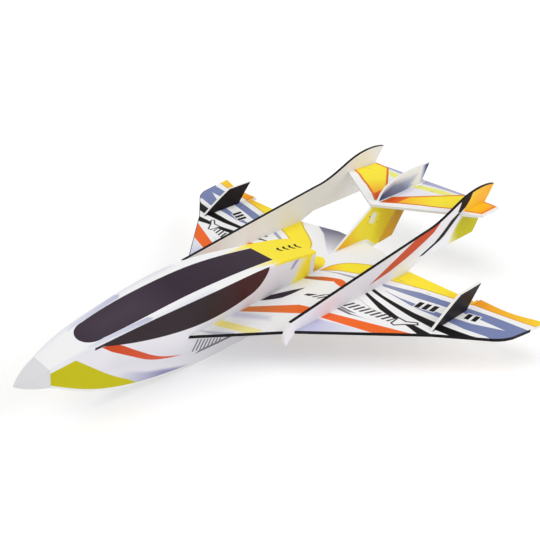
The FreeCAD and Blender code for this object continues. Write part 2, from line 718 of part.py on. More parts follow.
def build_rudder():
    foot = to_plane("YZ", on_rudder_axis(RUDDER_SPAN[0]))
    aft = V(0, RUDDER_AXIS.z, -RUDDER_AXIS.y)
    place = frame(foot, RUDDER_AXIS, aft)
    length = RUDDER_SPAN[1] - RUDDER_SPAN[0]
    surface, shaft, blocks = fit_hinge(rudder(), place, length, RUDDER_HINGES)
    at_horn = frame(to_plane("YZ", on_rudder_axis(RUDDER_HORN)), RUDDER_AXIS, aft)
    linkage("rudder", at_horn, RUDDER_SERVO, ARM, 1)
    rear = RUDDER_SERVO[0] + SERVO_SHAFT
    front = rear - SERVO_CASE[1]
    fit = 0.3
    pocket = box((-3.4, SERVO_GAP + SERVO_CASE[0] + fit), (front - fit, rear + fit), (-9, 9))
    ears = box((SERVO_GAP + 3.9, SERVO_GAP + 6.3), (front - 4.6, rear + 4.6), (-9, 9))
    fin = centre_fin().cut(placed(pocket, at_horn)).cut(placed(ears, at_horn))
    cover = box((-4.4, SERVO_GAP + SERVO_CASE[0] + 2), (front - 1.5, rear + 1.5),
                (-BOARD / 2 - COVER_T, -BOARD / 2))
    flat_edges = [e for e in cover.Edges if abs(e.Vertexes[0].Z - e.Vertexes[-1].Z) > 0.5]
    add("rudder_servo_cover", placed(cover.makeFillet(4.0, flat_edges), at_horn))
    for block in blocks:
        fin = fin.cut(block)
    add("centre_fin", fin)
    add("rudder", surface)
    add("rudder_hinge_rod", shaft)
    return blocks


def build():
    fuselage_panels()
    canopy_hatch()
    nose_cone()
    formers_and_tray()
    flight_electronics()
    ducted_fan()
    blocks = build_wing() + build_elevator() + build_rudder()
    add("hinge_blocks", group(blocks))
    os.makedirs("parts", exist_ok=True)
    for name, shape in parts.items():
        shape.exportStep("parts/" + name + ".step")


build()
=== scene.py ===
"""Looks of a foam-board model jet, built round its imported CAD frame. Metres, +Y aft, +Z up."""
import json
import math

import bmesh
import bpy
from mathutils import Matrix, Vector, geometry


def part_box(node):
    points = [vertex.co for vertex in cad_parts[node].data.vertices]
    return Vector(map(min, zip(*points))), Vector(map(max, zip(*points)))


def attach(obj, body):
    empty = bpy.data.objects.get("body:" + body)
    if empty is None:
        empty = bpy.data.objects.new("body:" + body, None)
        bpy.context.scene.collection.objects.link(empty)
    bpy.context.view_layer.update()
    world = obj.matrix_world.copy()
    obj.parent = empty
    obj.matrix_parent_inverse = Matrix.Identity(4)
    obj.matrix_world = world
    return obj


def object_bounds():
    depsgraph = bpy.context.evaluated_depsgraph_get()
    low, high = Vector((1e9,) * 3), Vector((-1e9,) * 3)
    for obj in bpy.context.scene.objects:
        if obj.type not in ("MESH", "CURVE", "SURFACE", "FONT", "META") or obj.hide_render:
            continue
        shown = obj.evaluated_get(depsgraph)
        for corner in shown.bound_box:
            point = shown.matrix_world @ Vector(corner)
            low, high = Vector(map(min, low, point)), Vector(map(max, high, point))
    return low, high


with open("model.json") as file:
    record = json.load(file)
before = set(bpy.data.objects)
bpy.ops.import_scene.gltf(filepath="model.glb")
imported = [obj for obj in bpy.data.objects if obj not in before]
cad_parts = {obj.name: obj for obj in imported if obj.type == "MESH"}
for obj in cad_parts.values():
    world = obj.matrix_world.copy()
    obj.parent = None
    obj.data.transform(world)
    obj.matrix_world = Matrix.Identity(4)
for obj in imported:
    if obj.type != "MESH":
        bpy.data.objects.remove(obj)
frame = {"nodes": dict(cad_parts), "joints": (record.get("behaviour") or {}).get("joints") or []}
cad_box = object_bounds()
NODES = frame["nodes"]

MM = 0.001             # in metres

# ---- ink colours, linear RGB; a tint that is used once stands where it is laid -----------
WHITE = (0.86, 0.86, 0.86)
FOAM_EDGE = (0.83, 0.82, 0.79)
YELLOW = (0.93, 0.76, 0.035)
PALE_YELLOW = (0.92, 0.80, 0.20)
# painted shade: the yellow print as it looks in shade, on the nose side and under the stabiliser
YELLOW_IN_SHADE = (0.53, 0.48, 0.0)
LIME = (0.80, 0.78, 0.10)
# painted shade: the fin's yellow as it looks in deep shade under the stabiliser
YELLOW_IN_DEEP_SHADE = (0.44, 0.21, 0.010)
AMBER = (0.92, 0.42, 0.015)
ORANGE = (0.84, 0.135, 0.018)
BROWN = (0.34, 0.14, 0.04)
RUST = (0.62, 0.13, 0.012)
RED = (0.58, 0.055, 0.007)
BLUE = (0.185, 0.225, 0.42)
DEEP_BLUE = (0.045, 0.075, 0.20)
LAVENDER = (0.46, 0.46, 0.66)
GREY_BLUE = (0.27, 0.27, 0.46)
PLUM = (0.033, 0.019, 0.034)
BLACK = (0.007, 0.006, 0.007)
WINDOW = (0.026, 0.015, 0.020)
WINDOW_REAR = (0.062, 0.012, 0.012)

# ---- surface of the boards --------------------------------------------------------------
SKIN_DEPTH = 0.4 * MM  # height of the finest relief
PORE_SCALE = 260.0     # noise scales, in features per metre
GLOSS_SCALE = 90.0
CLOUD_SCALE = 14.0
GLOSS_SWING = 0.14     # spread of the roughness over a board
LOOKS_DOWN = -0.3      # upward part of the normal, below which a face is the underside


# ---- drawing with shader nodes ----------------------------------------------------------
class Print:
    """Ink on a board, drawn in the two flat coordinates of its plane, in millimetres.

    A shape is a signed distance in millimetres, positive inside. Each layer is painted over
    the ones before it, and a soft edge makes the airbrushed fades.
    """

    def __init__(self, name, axes, mirror=False, ground=WHITE):
        self.material = bpy.data.materials.new(name)
        self.material.use_nodes = True
        self.tree = self.material.node_tree
        self.shader = self.tree.nodes["Principled BSDF"]
        coords = self.node("ShaderNodeTexCoord")
        self.place = coords.outputs["Object"]
        self.facing = dict(zip("XYZ", self.split(coords.outputs["Normal"])))
        self.xyz = dict(zip("XYZ", self.split(self.vector("SCALE", self.place, scale=1 / MM))))
        first = self.xyz[axes[0]]
        if mirror:
            first = self.math("ABSOLUTE", first)
        flat = self.node("ShaderNodeCombineXYZ")
        self.feed(flat.inputs[0], first)
        self.feed(flat.inputs[1], self.xyz[axes[1]])
        self.point = flat.outputs[0]
        self.ink = ground

    def node(self, kind):
        return self.tree.nodes.new(kind)

    def feed(self, socket, value):
        """Put a number, a colour or another node's output into a socket."""
        if isinstance(value, bpy.types.NodeSocket):
            self.tree.links.new(value, socket)
        elif isinstance(value, (int, float)):
            socket.default_value = value
        else:
            size = len(socket.default_value)
            socket.default_value = (tuple(value) + (1.0,))[:size]

    def split(self, value):
        node = self.node("ShaderNodeSeparateXYZ")
        self.feed(node.inputs[0], value)
        return node.outputs

    def math(self, operation, *values, clamp=False):
        node = self.node("ShaderNodeMath")
        node.operation = operation
        node.use_clamp = clamp
        for socket, value in zip(node.inputs, values):
            self.feed(socket, value)
        return node.outputs[0]

    def vector(self, operation, *values, scale=None):
        node = self.node("ShaderNodeVectorMath")
        node.operation = operation
        for socket, value in zip(node.inputs, values):
            self.feed(socket, value)
        if scale is not None:
            self.feed(node.inputs["Scale"], scale)
        output = "Value" if operation in ("DOT_PRODUCT", "DISTANCE", "LENGTH") else "Vector"
        return node.outputs[output]

    def mix(self, amount, below, above):
        node = self.node("ShaderNodeMix")
        node.data_type = "RGBA"
        self.feed(node.inputs["Factor"], amount)
        self.feed(node.inputs["A"], below)
        self.feed(node.inputs["B"], above)
        return node.outputs["Result"]

    # shapes
    def edge(self, start, end, bulge=0.0):
        """Signed distance to the edge from start to end, positive on its left.

        A positive bulge bows the edge out to its right by that many millimetres, and a
        negative one bows it in.
        """
        p, q = Vector(start), Vector(end)
        along = (q - p).normalized()
        left = Vector((-along.y, along.x))
        reach = self.vector("DOT_PRODUCT", self.point, (left.x, left.y, 0.0))
        line = self.math("SUBTRACT", reach, left.dot(p))
        if bulge == 0.0:
            return line
        depth = abs(bulge)
        radius = ((q - p).length_squared / 4 + depth * depth) / (2 * depth)
        centre = (p + q) / 2 + left * math.copysign(radius - depth, bulge)
        away = self.vector("DISTANCE", self.point, (centre.x, centre.y, 0.0))
        if bulge > 0:
            return self.either(line, self.math("SUBTRACT", radius, away))
        return self.both(line, self.math("SUBTRACT", away, radius))

    def ring(self, points, bulges, closed=True):
        """Signed distance to an anticlockwise ring: its hull, less the pockets in its sides.

        A pocket is a ring of its own, left open along the hull.
        """
        count = len(points)
        hull = sorted(geometry.convex_hull_2d(points)) if count > 3 else list(range(count))
        limits = []
        for i, j in zip(hull, hull[1:] + hull[:1]):
            steps = (j - i) % count
            if steps == 1 and (closed or i < j):
                limits.append(self.edge(points[i], points[j], bulges[i]))
            elif steps > 1:
                limits.append(self.edge(points[i], points[j]))
                span = [(i + k) % count for k in range(steps + 1)][::-1]
                turned = [-bulges[k] for k in span[1:]] + [0.0]
                pocket = self.ring([points[k] for k in span], turned, closed=False)
                limits.append(self.math("MULTIPLY", pocket, -1.0))
        return self.both(*limits)

    def shape(self, *corners):
        """Closed outline of (a, b) or (a, b, bulge) corners; the bulge is of the edge after it."""
        points = [Vector(c[:2]) for c in corners]
        bulges = [c[2] if len(c) > 2 else 0.0 for c in corners]
        area = sum(p.x * q.y - p.y * q.x for p, q in zip(points, points[1:] + points[:1]))
        if area < 0:
            # turned anticlockwise, with each bulge kept on its own edge
            points.reverse()
            bulges = bulges[-2::-1] + bulges[-1:]
        return self.ring(points, bulges)

    def both(self, *distances):
        result = distances[0]
        for distance in distances[1:]:
            result = self.math("MINIMUM", result, distance)
        return result

    def either(self, *distances):
        result = distances[0]
        for distance in distances[1:]:
            result = self.math("MAXIMUM", result, distance)
        return result

    def without(self, distance, hole):
        return self.both(distance, self.math("MULTIPLY", hole, -1.0))

    def border(self, distance, width):
        """Band of the given width just inside a shape's edge."""
        return self.both(distance, self.math("SUBTRACT", width, distance))

    # inks
    def fade(self, start, end, first, last):
        """Colour running from first at one point to last at another."""
        p, q = Vector(start), Vector(end)
        step = (q - p) / (q - p).length_squared
        reach = self.vector("DOT_PRODUCT", self.point, (step.x, step.y, 0.0))
        amount = self.math("SUBTRACT", reach, step.dot(p), clamp=True)
        return self.mix(amount, first, last)

    def paint(self, colour, distance, soft=0.6, strength=1.0):
        """Lay a colour over a shape; soft is the width of its blurred edge."""
        cover = self.math("MULTIPLY_ADD", distance, 1.0 / soft, 0.5, clamp=True)
        if strength < 1.0:
            cover = self.math("MULTIPLY", cover, strength)
        self.ink = self.mix(cover, self.ink, colour)

    def slats(self, start, step, lean, width, count, shrink=0.0):
        """Row of slanted bars, each shorter than the one before by that share of the first."""
        bars = []
        for i in range(count):
            foot = Vector(start) + Vector(step) * i
            top = foot + Vector(lean) * (1 - shrink * i)
            across = Vector(step).normalized() * width
            bars.append(self.shape(foot, foot + across, top + across, top))
        return self.either(*bars)

    # finishing
    def edges(self, axis, colour, least=0.5):
        """Replace the ink where the normal has less than that share along the axis: cut edges."""
        cut = self.math("LESS_THAN", self.math("ABSOLUTE", self.facing[axis]), least)
        self.ink = self.mix(cut, self.ink, colour)

    def underside(self, *layers):
        """Replace the ink on faces that look down by layers of (colour, shape) on white."""
        above = self.ink
        self.ink = WHITE
        for colour, distance in layers:
            self.paint(colour, distance)
        down = self.math("LESS_THAN", self.facing["Z"], LOOKS_DOWN)
        self.ink = self.mix(down, above, self.ink)

    def inside(self, colour):
        """Replace the ink on faces that look towards the centre line."""
        outward = self.math("MULTIPLY", self.facing["X"], self.xyz["X"])
        self.ink = self.mix(self.math("LESS_THAN", outward, 0.0), self.ink, colour)

    def noise(self, scale, detail=3.0, roughness=0.6, stretch=(1.0, 1.0, 1.0)):
        node = self.node("ShaderNodeTexNoise")
        self.feed(node.inputs["Vector"], self.vector("MULTIPLY", self.place, stretch))
        self.feed(node.inputs["Scale"], scale)
        self.feed(node.inputs["Detail"], detail)
        self.feed(node.inputs["Roughness"], roughness)
        return node.outputs["Fac"]

    def finish(self, roughness=0.46, bump=0.06, grain=1400.0, mottle=0.05, relief=None, shine=0.12):
        """Join the ink to the shader, with the board's fine skin and slight unevenness.

        The grain is in cells per metre, and the mottle is the spread of the colour's level.
        """
        self.shader.inputs["Specular IOR Level"].default_value = shine
        cloud = self.noise(CLOUD_SCALE, detail=2.0) if relief is None else relief
        shade = self.math("MULTIPLY_ADD", cloud, mottle, 1.0 - mottle / 2)
        self.feed(self.shader.inputs["Base Color"], self.vector("SCALE", self.ink, scale=shade))
        cells = self.node("ShaderNodeTexVoronoi")
        self.feed(cells.inputs["Vector"], self.place)
        self.feed(cells.inputs["Scale"], grain)
        skin = self.math("ADD", cells.outputs["Distance"], self.noise(PORE_SCALE))
        bumps = self.node("ShaderNodeBump")
        self.feed(bumps.inputs["Strength"], bump)
        self.feed(bumps.inputs["Distance"], SKIN_DEPTH)
        self.feed(bumps.inputs["Height"], skin)
        self.feed(self.shader.inputs["Normal"], bumps.outputs["Normal"])
        gloss = self.math("MULTIPLY_ADD", self.noise(GLOSS_SCALE), GLOSS_SWING,
                          roughness - GLOSS_SWING / 2)
        self.feed(self.shader.inputs["Roughness"], gloss)
        return self.material


# ---- printed boards ---------------------------------------------------------------------
def wing_root_print(p):
    """Streaks of the wing between the fuselage and the boom."""
    p.paint(GREY_BLUE, p.shape((36, -110), (78, -72), (92, -72), (70, -96)), soft=5, strength=0.55)
    p.paint(p.fade((34, -74), (104, -44), PALE_YELLOW, (0.88, 0.78, 0.35)),
            p.shape((24, -68), (106, -32), (104, -54), (24, -88)), soft=3)
    p.paint(LAVENDER, p.shape((26, -32), (84, 6), (92, -4), (30, -50)), soft=10, strength=0.55)
    p.paint(p.fade((34, -12), (110, 66), (0.62, 0.20, 0.05), ORANGE),
            p.shape((26, -14), (90, 67), (108, 75), (140, 85), (140, 64), (115, 53), (36, -24)), soft=1.2)
    p.paint(PLUM, p.shape((57, 116), (56, 80), (54, 62, 1.5), (34, 25), (31, 32), (31, 44), (47, 92)))
    p.paint(p.fade((34, 140), (80, 176), BROWN, ORANGE),
            p.shape((14, 130), (52, 167.5, 1), (80, 184), (88, 184), (140, 158), (140, 148),
                    (100, 163), (86, 165), (76, 168, 1), (28, 134)), soft=1.0)
    p.paint(p.fade((80, 205), (137, 224), (0.22, 0.20, 0.28), BLUE),
            p.shape((28, 178), (60, 198), (98, 213), (137, 228), (137, 220), (98, 205), (60, 194)),
            soft=1.5, strength=0.75)


def wing_trailing_print(p):
    """Yellow sweep curling round the fuselage's tail and out along the trailing edge.

    The painted shadow of the centre fin, a dark fade beside it, is on the starboard half only.
    """
    disc = p.shape((-4, 150), (27, 150), (27.5, 174, 1), (25, 193, 1.5), (15, 211, 1), (-4, 221))
    p.paint(p.fade((24, 176), (10, 196), (0.70, 0.36, 0.03), YELLOW), disc, soft=1.2)
    sweep = p.shape((30, 178), (32, 206, 5), (60, 251, 1), (86, 268), (112, 283), (140, 304),
                    (300, 304), (292, 284), (251, 276.5), (205, 266), (145, 247), (90, 223),
                    (54, 203), (42, 190, 2))
    p.paint(p.fade((34, 190), (56, 216), AMBER, YELLOW), sweep)
    p.paint(p.fade((230, 0), (296, 0), YELLOW, AMBER),
            p.both(sweep, p.edge((226, 400), (226, 0))), soft=2.0)
    p.paint((0.52, 0.27, 0.03), p.border(sweep, 2.4), soft=1.8, strength=0.75)
    tip = p.shape((291, 286, 1.5), (397, 303), (420, 308), (420, 345), (291, 330))
    p.paint(p.fade((300, 290), (404, 322), (0.86, 0.33, 0.012), (0.93, 0.62, 0.03)), tip, soft=0.8)
    p.paint(RUST, p.border(tip, 2.0), soft=1.6, strength=0.7)
    # painted shadow of the centre fin: a dark lavender fade on the starboard wing beside it, darkest
    # towards the trailing edge
    starboard = p.math("MULTIPLY", p.xyz["X"], -1.0)
    shade = p.both(p.shape((-4, 236), (4, 237), (67, 293), (104, 314), (112, 330), (-4, 330)),
                   starboard)
    p.paint(p.fade((8, 244), (52, 318), (0.78, 0.78, 0.84), (0.20, 0.19, 0.28)), shade, soft=3)


def wing_band_print(p):
    """Blue band with a long white dart, and two black swooshes in front of it."""
    band = p.shape((138, 227, -1), (205, 252, 1), (260, 263.5, 1), (325, 277), (355, 281.5),
                   (420, 288), (420, 216), (360, 220), (325, 212, -1.5), (230, 204.5), (160, 211))
    dart = p.shape((130, 217.5), (217, 234, 1), (295, 252), (327, 255.5), (373, 257.5),
                   (325, 235, 1), (255, 220.5), (192, 211.5), (150, 212.5))
    p.paint(p.fade((150, 220), (240, 240), (0.28, 0.31, 0.46), BLUE), p.without(band, dart))
    p.paint(BLACK, p.either(
        p.shape((134, 204), (167, 196, -0.8), (240, 191), (295, 195, -0.5), (345, 204), (352, 208),
                (330, 180), (295, 175.5), (242, 177, 1.2), (150, 192), (134, 197)),
        p.shape((103, 192), (138, 185), (167, 176.5, -1.2), (230, 162), (302, 160), (320, 164),
                (290, 142), (260, 149.5, -1), (217, 152), (192, 157), (167, 167, 0.6), (140, 178)),
    ), soft=0.8)
    p.paint((0.50, 0.28, 0.12), p.shape((118, 164), (178, 147.5), (210, 148), (176, 150)),
            soft=1.0, strength=0.7)


def wing_marks(p):
    """Plain slanted blocks where such a model carries its lettering."""
    ink = (0.055, 0.045, 0.055)
    name = p.shape((72, 96), (112, 110), (112, 134), (104, 134), (92, 118), (74, 104))
    row = p.shape((138, 118), (226, 138), (230, 157), (138, 138))
    p.paint(ink, p.either(p.without(name, p.slats((80, 96), (8.5, 3.0), (11, 26), 4.6, 4)),
                          p.without(row, p.slats((134, 112), (10.2, 2.6), (11, 34), 5.4, 10))))
    arrow = p.shape((229, 162), (246, 161), (262, 173), (268, 166), (252, 151), (240, 135), (231, 137))
    p.paint(ink, arrow)
    p.paint(WHITE, p.math("SUBTRACT", arrow, 3.0))
    p.paint((0.20, 0.18, 0.21), p.either(
        p.shape((134, 104), (168, 106, -1), (206, 121), (170, 111, 1.5), (134, 109)),
        p.shape((134, 112), (164, 113), (176, 118), (134, 116)),
    ), soft=0.8)
    for blocks in (p.slats((226, 206), (12.5, 4.2), (-2.0, 21), 8.6, 3),
                   p.slats((305, 238), (12.0, 3.4), (-2.0, 19), 8.0, 2)):
        p.paint(WHITE, p.math("ADD", blocks, 1.8))
        p.paint(BLACK, blocks)


def wing_print():
    """Plan of one wing half; x is measured from the centre line, so the halves match."""
    p = Print("wing_print", "XY", mirror=True)
    wing_root_print(p)
    p.paint(p.fade((150, 40), (215, 70), LAVENDER, (0.74, 0.75, 0.82)),
            p.shape((134, -4), (240, 88), (224, 92), (140, 58)), soft=5, strength=0.9)
    p.paint(p.fade((140, 72), (180, 92), (0.82, 0.13, 0.03), ORANGE),
            p.shape((138, 84.5), (257, 131), (280, 140), (228, 92), (138, 63)), soft=0.8)
    wing_trailing_print(p)
    wing_band_print(p)
    wing_marks(p)
    p.underside((BLUE, p.shape((30, -60), (420, 230), (420, 262), (30, -20))),
                (AMBER, p.shape((30, 10), (420, 276), (420, 290), (30, 32))))
    p.edges("Z", FOAM_EDGE)
    return p.finish()


def side_print():
    """Fuselage side, the same on both."""
    # painted shade: the outside's ground is grey-lavender, darker than the white top and inside, as the
    # side is in shade
    ground = (0.77, 0.755, 0.80)
    p = Print("side_print", "YZ", ground=ground)
    # painted shade: a wide soft grey patch darkens the front of the side, low down
    p.paint((0.62, 0.61, 0.67), p.shape((-300, 70), (-120, 20), (-60, 40), (-150, 60), (-260, 100)),
            soft=40, strength=0.55)
    p.paint(p.fade((-262, 62), (-176, 18), (0.72, 0.72, 0.78), GREY_BLUE),
            p.shape((-282, 76), (-247, 57), (-205, 35), (-164, 20, -0.5), (-112, 2), (-112, -14),
                    (-236, -4), (-246, 38)), soft=7)
    # painted shade: the nose's yellow patch is darkened to olive, as its face turns down away from the
    # light
    p.paint(YELLOW_IN_SHADE, p.shape((-385, 60), (-385, 103), (-336, 124), (-327, 119), (-293, 84, -1.5),
                           (-243, 39.5, 1), (-216, 12), (-240, -4)), soft=1.2)
    p.paint(p.fade((-280, 120), (-150, 44), RED, (0.66, 0.11, 0.05)),
            p.shape((-289, 128), (-264, 123), (-253, 114.5), (-234, 97.5, -1.5), (-184, 58, -1),
                    (-139, 38.5, 1), (-184, 51.5, 2), (-226, 76), (-272, 111)), soft=0.8)
    glass = p.shape((-296, 132, 6.5), (-122, 91.5, 4), (-5, 100, 8.4), (38, 136), (38, 170),
                    (-310, 170))
    p.paint(p.fade((-110, 0), (24, 0), WINDOW, WINDOW_REAR), glass, soft=0.8)
    p.paint(p.fade((106, 100), (128, 90), (0.90, 0.85, 0.45), YELLOW),
            p.shape((98, 64), (151.5, 60), (151.5, 160), (141, 160)), soft=4)
    p.paint(ground, p.shape((151.5, 0), (180, 0), (180, 170), (151.5, 170)), soft=0.5)
    p.paint(GREY_BLUE, p.shape((119, 130), (109, 132), (95, 112), (102, 110)), soft=3, strength=0.8)
    p.paint((0.70, 0.69, 0.74), p.shape((62, 86), (92, 86), (76, 76), (60, 76)), soft=4)
    p.paint((0.10, 0.09, 0.11), p.slats((-120, 34), (8.0, -1.6), (9, 24), 3.0, 8, shrink=0.07))
    p.paint((0.20, 0.19, 0.21), p.shape((-112, 25), (-30, 22), (-40, 28), (-104, 30)))
    p.inside(WHITE)
    p.edges("X", FOAM_EDGE, least=0.35)
    return p.finish(bump=0.05)


def top_print():
    """Top of the fuselage; its outer edges carry the print over to the sides."""
    p = Print("top_print", "XY", mirror=True, ground=(0.86, 0.86, 0.87))
    p.paint(p.fade((0, -200), (0, -296), (0.36, 0.37, 0.58), (0.66, 0.67, 0.80)),
            p.shape((38.5, -206), (45, -200), (50, -208), (36, -292), (31, -304), (27, -304)),
            soft=2.5, strength=0.8)
    p.paint((0.66, 0.66, 0.76),
            p.shape((52, -90), (49, -190), (36, -290), (24, -370), (90, -370), (90, -90)),
            soft=14, strength=0.7)
    p.paint(p.fade((0, 10), (0, 70), (0.90, 0.82, 0.40), YELLOW), p.either(
        p.shape((-20, 58), (30, 58), (34, 6), (44, 62), (62, 66), (62, 180), (-20, 180)),
        p.shape((38, 62), (62, 30), (62, 70)),
    ), soft=6)
    p.paint(BLACK, p.slats((-6, 96), (0.6, 15), (13, 7), 6.0, 4))
    above = p.ink
    p.paint(p.fade((0, -110), (0, 24), WINDOW, WINDOW_REAR),
            p.shape((-80, -299), (80, -299), (80, 38), (-80, 38)))
    beside = p.ink
    p.ink = above
    p.underside()
    p.edges("Z", beside)
    return p.finish(bump=0.05)


def boom_print():
    """Tail boom: printed outside, plain inside."""
    p = Print("boom_print", "YZ", ground=(0.80, 0.77, 0.81))
    p.paint((0.84, 0.84, 0.86), p.shape((250, 80), (560, 80), (560, 120), (400, 112), (250, 92)), soft=14)
    p.paint((0.80, 0.66, 0.72), p.shape((40, 84), (110, 84), (110, 100), (60, 98)), soft=16, strength=0.5)
    # painted shade: below the stabiliser the boom's yellow is darkened to olive, as in the stabiliser's
    # shadow
    p.paint(p.fade((412, 96), (440, 110), (0.86, 0.84, 0.50), YELLOW_IN_SHADE),
            p.shape((414, 80), (424, 104), (440, 124), (458, 139), (530, 122), (500, 80)), soft=7)
    p.paint(p.fade((474, 150), (540, 150), (0.93, 0.60, 0.05), AMBER),
            p.shape((452, 142), (484, 184), (470, 200), (570, 200), (540, 150), (522, 134)), soft=1.2)
    p.paint(p.fade((196, 90), (380, 146), (0.60, 0.10, 0.045), RED),
            p.shape((186, 88.3, 1), (286, 126), (307, 134), (392, 152), (365, 131, 1), (290, 106),
                    (240, 95)), soft=0.8)
    p.paint(BLACK, p.either(
        p.shape((326, 94.5), (370, 108, -1.5), (417, 139), (438, 147.5), (447, 146), (407, 118, 1.5),
                (380, 105), (338, 93)),
        p.shape((437, 149), (444, 163), (450, 190), (486, 190), (475, 168, 0.8), (459, 152), (446, 146)),
    ), soft=0.8)
    p.inside(p.fade((0, 150), (0, 90), (0.82, 0.80, 0.77), (0.86, 0.85, 0.81)))
    p.edges("X", FOAM_EDGE)
    return p.finish()


def tail_print():
    """Stabiliser and elevator, seen from above."""
    p = Print("tail_print", "XY", mirror=True)
    p.paint((0.76, 0.74, 0.83), p.shape((0, 400), (52, 462), (66, 480), (0, 484)), soft=14, strength=0.7)
    p.paint(LIME, p.shape((0, 476), (66, 490), (92, 509), (56, 509), (0, 494)), soft=7, strength=0.9)
    p.paint((0.36, 0.36, 0.56), p.shape((0, 505), (60, 514), (100, 517), (110, 532), (0, 532)),
            soft=6, strength=0.9)
    kite = p.shape((6, 370), (34, 393), (70, 418, 1), (116, 447), (172, 473), (172, 523),
                   (139, 526), (95, 521), (72, 492, 1), (36, 446), (6, 408))
    p.paint(p.fade((30, 400), (84, 440), AMBER, YELLOW), kite, soft=0.8)
    p.paint(p.fade((128, 0), (164, 0), YELLOW, AMBER), p.both(kite, p.edge((124, 600), (124, 300))),
            soft=6)
    p.paint(p.fade((6, 400), (32, 410), RED, ORANGE), p.both(kite, p.edge((30, 300), (32, 600))),
            soft=1.5)
    p.paint(p.fade((0, 400), (150, 400), RUST, (0.78, 0.20, 0.02)), p.border(kite, 4.5), soft=1.2)
    p.underside((BLUE, p.shape((0, 440), (180, 478), (180, 494), (0, 470))))
    p.edges("Z", FOAM_EDGE)
    return p.finish()


def fin_print():
    """Centre fin and rudder, printed on both faces above the wing."""
    p = Print("fin_print", "YZ")
    field = p.shape((252, 77), (351, 138), (470, 138), (470, 40), (372, 51), (343, 72), (309, 73.5))
    p.paint(p.fade((262, 80), (318, 92), AMBER, YELLOW), field)
    # painted shade: the fin's yellow darkens to gold towards the rear, where the stabiliser shades it
    p.paint(p.fade((352, 100), (402, 88), (0.86, 0.76, 0.01), (0.70, 0.47, 0.006)),
            p.both(field, p.edge((372, 160), (352, 20))), soft=26)
    # painted shade: the rudder is bronze under the stabiliser; the lighter orange-brown along the hinge
    # is a painted highlight
    p.paint(p.fade((404, 80), (440, 96), (0.62, 0.30, 0.012), YELLOW_IN_DEEP_SHADE),
            p.both(field, p.edge((456, 142), (374, 40))), soft=2.0, strength=0.9)
    p.edges("X", FOAM_EDGE)
    return p.finish()


def upper_fin_print():
    """Upper fin: blue airbrushing at its front and at its tip, over white."""
    p = Print("upper_fin_print", "YZ")
    p.paint(p.fade((380, 0), (470, 0), DEEP_BLUE, (0.42, 0.47, 0.62)),
            p.shape((350, 130), (376, 160), (414, 171), (486, 168), (452, 130)), soft=14)
    p.paint((0.10, 0.10, 0.18), p.shape((384, 146), (440, 160), (470, 150), (440, 140)), soft=12,
            strength=0.5)
    p.paint(p.fade((494, 150), (524, 180), (0.30, 0.34, 0.52), DEEP_BLUE),
            p.shape((502, 130), (514, 200), (540, 200), (540, 130)), soft=12)
    p.edges("X", FOAM_EDGE)
    return p.finish()


def cover_print():
    """Pale plate over the rudder servo, yellow like the fin at its rim."""
    p = Print("cover_print", "YZ", ground=YELLOW)
    p.paint((0.86, 0.85, 0.74), p.shape((346, 108), (356, 128), (368, 120), (360, 102)), soft=5)
    return p.finish(roughness=0.35, bump=0.03)


def winglet_print():
    """Winglet: black faces with the foam showing at the cut edge."""
    p = Print("winglet_print", "YZ", ground=(0.011, 0.008, 0.010))
    p.edges("X", FOAM_EDGE)
    return p.finish(roughness=0.40)


def canopy_print():
    """Dark canopy, a little paler in front and at its cut edge."""
    p = Print("canopy_print", "XY", ground=PLUM)
    p.paint((0.058, 0.042, 0.064), p.shape((-40, -300), (40, -300), (40, -170), (-40, -170)), soft=90)
    p.edges("Z", (0.12, 0.11, 0.12), least=0.35)
    return p.finish(roughness=0.42, bump=0.05)


# ---- other materials --------------------------------------------------------------------
def plain(name, colour, roughness=0.45, bump=0.05, grain=900.0, mottle=0.06, metallic=0.0, coat=0.0):
    """Material of one colour, with a slight unevenness."""
    p = Print(name, "XY", ground=colour)
    p.finish(roughness, bump, grain, mottle)
    p.shader.inputs["Metallic"].default_value = metallic
    p.shader.inputs["Coat Weight"].default_value = coat
    return p.material


def plywood():
    """Plywood, its grain drawn out fore and aft."""
    p = Print("plywood", "XY", ground=(0.50, 0.33, 0.17))
    grain = p.noise(60.0, detail=6.0, roughness=0.7, stretch=(6.0, 0.4, 6.0))
    return p.finish(roughness=0.6, bump=0.12, grain=500.0, mottle=0.6, relief=grain)


def battery_print():
    """Shrink-wrapped pack with a plain label."""
    p = Print("battery_print", "XY", ground=(0.03, 0.06, 0.22))
    p.paint((0.80, 0.80, 0.78), p.shape((-14, -206), (14, -206), (14, -184), (-14, -184)))
    p.paint(YELLOW, p.shape((-14, -182), (14, -182), (14, -178), (-14, -178)))
    p.paint((0.25, 0.27, 0.32), p.slats((-11, -202), (4.2, 0.0), (2.0, 9.0), 2.4, 5))
    material = p.finish(roughness=0.3, bump=0.10, grain=160.0)
    p.shader.inputs["Coat Weight"].default_value = 0.3
    return material


def assign(material, *names):
    """Make this the only material of the named nodes."""
    for name in names:
        mesh = NODES[name].data
        mesh.materials.clear()
        mesh.materials.append(material)


def both_sides(*stems):
    """Names of the left and right nodes of each stem."""
    return [stem + side for stem in stems for side in ("_left", "_right")]


def ending(*ends):
    """Names of all nodes with one of these endings."""
    return [name for name in NODES if name.endswith(ends)]


